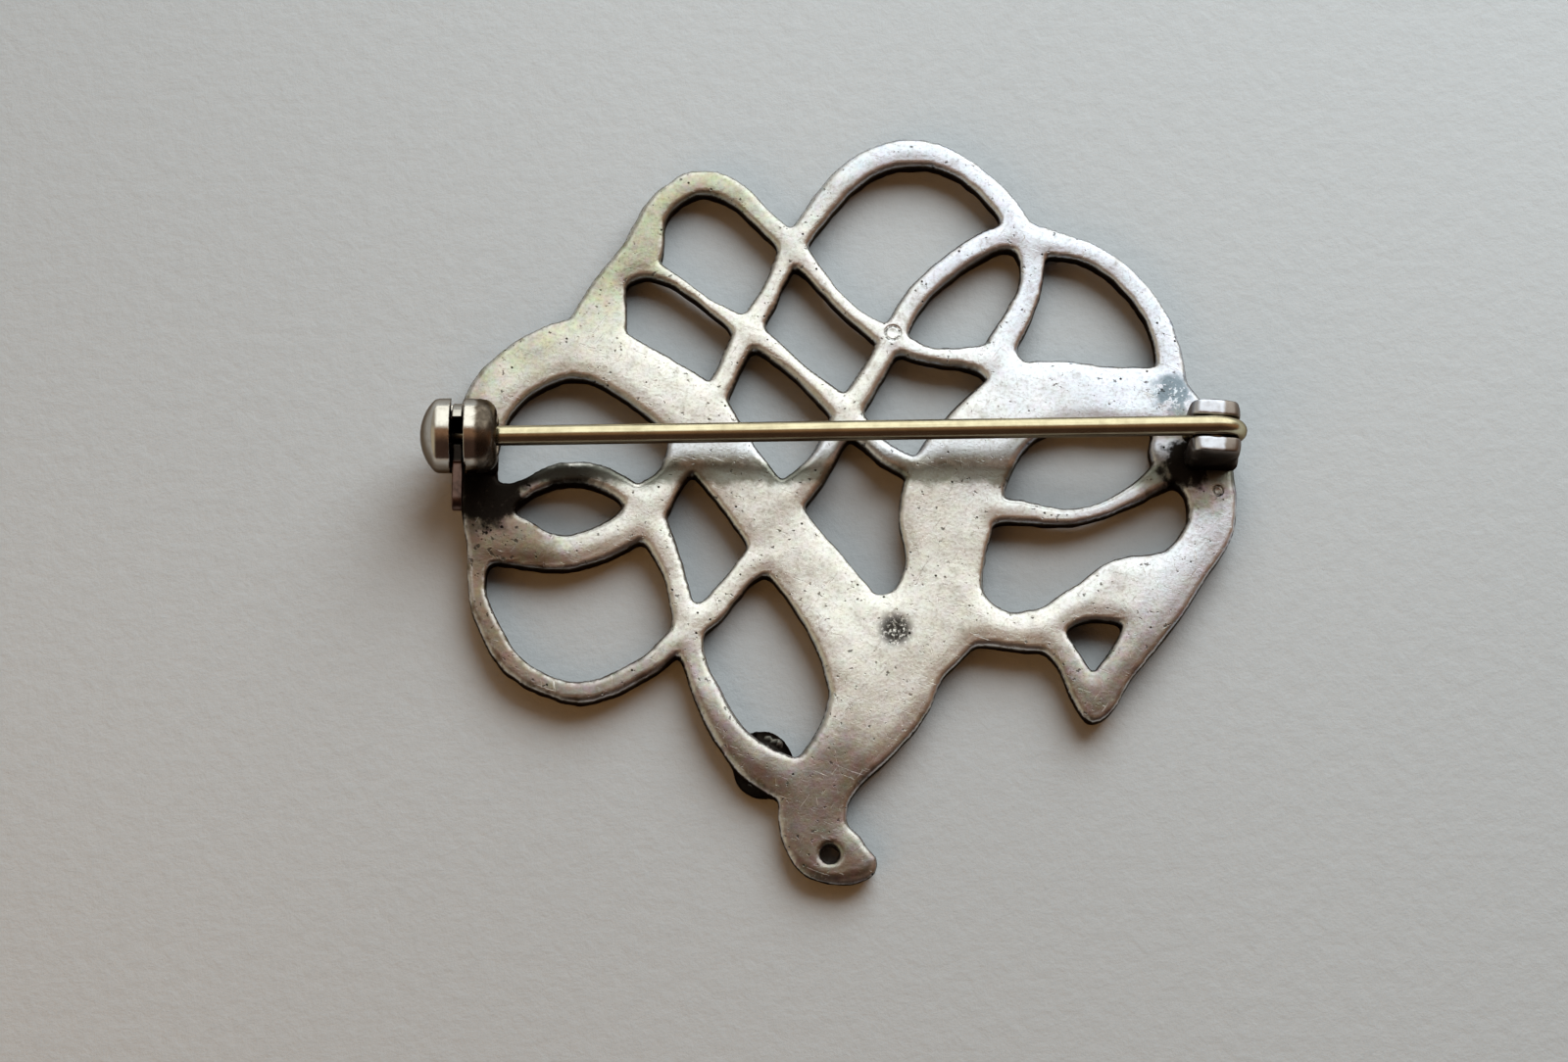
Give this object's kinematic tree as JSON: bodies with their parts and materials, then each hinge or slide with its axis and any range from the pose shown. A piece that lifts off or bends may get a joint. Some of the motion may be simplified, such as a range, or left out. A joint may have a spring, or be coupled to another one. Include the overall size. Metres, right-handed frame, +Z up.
{
  "type": "brooch",
  "caption": "Pierced silver brooch of interlaced ribbons with a beast's head and foot, with a hinged pin and a ball-shaped safety catch on its back.",
  "frame": {"origin": "middle of the whole brooch, on the surface it lies on", "axes": "+X along the pin towards the ball joint, +Y across the pin away from the beast's head, +Z up out of the back"},
  "size_m": [0.0412, 0.0386, 0.006],
  "materials": {
    "silver": "cast silver, softly polished, with fine scratches and some tarnish",
    "pin_wire": "drawn nickel silver wire, polished",
    "rivet": "nickel silver, dull",
    "catch_metal": "silver, dulled by tarnish"
  },
  "bodies": {
    "body": {"openwork": "silver", "joint_rivet": "rivet"},
    "pin": {"pin_stem": "pin_wire"},
    "catch": {"catch_rotor": "catch_metal"}
  },
  "joints": [
    {"name": "pin_swing", "type": "hinge", "parent": "body", "child": "pin", "pos_m": [0.01895, 0.0031, 0.00365], "axis": [0, 1, 0], "range_deg": [0, 100]},
    {"name": "catch_turn", "type": "hinge", "parent": "body", "child": "catch", "pos_m": [-0.0165, 0.00275, 0.0041], "axis": [1, 0, 0], "range_deg": [-90, 0]}
  ]
}
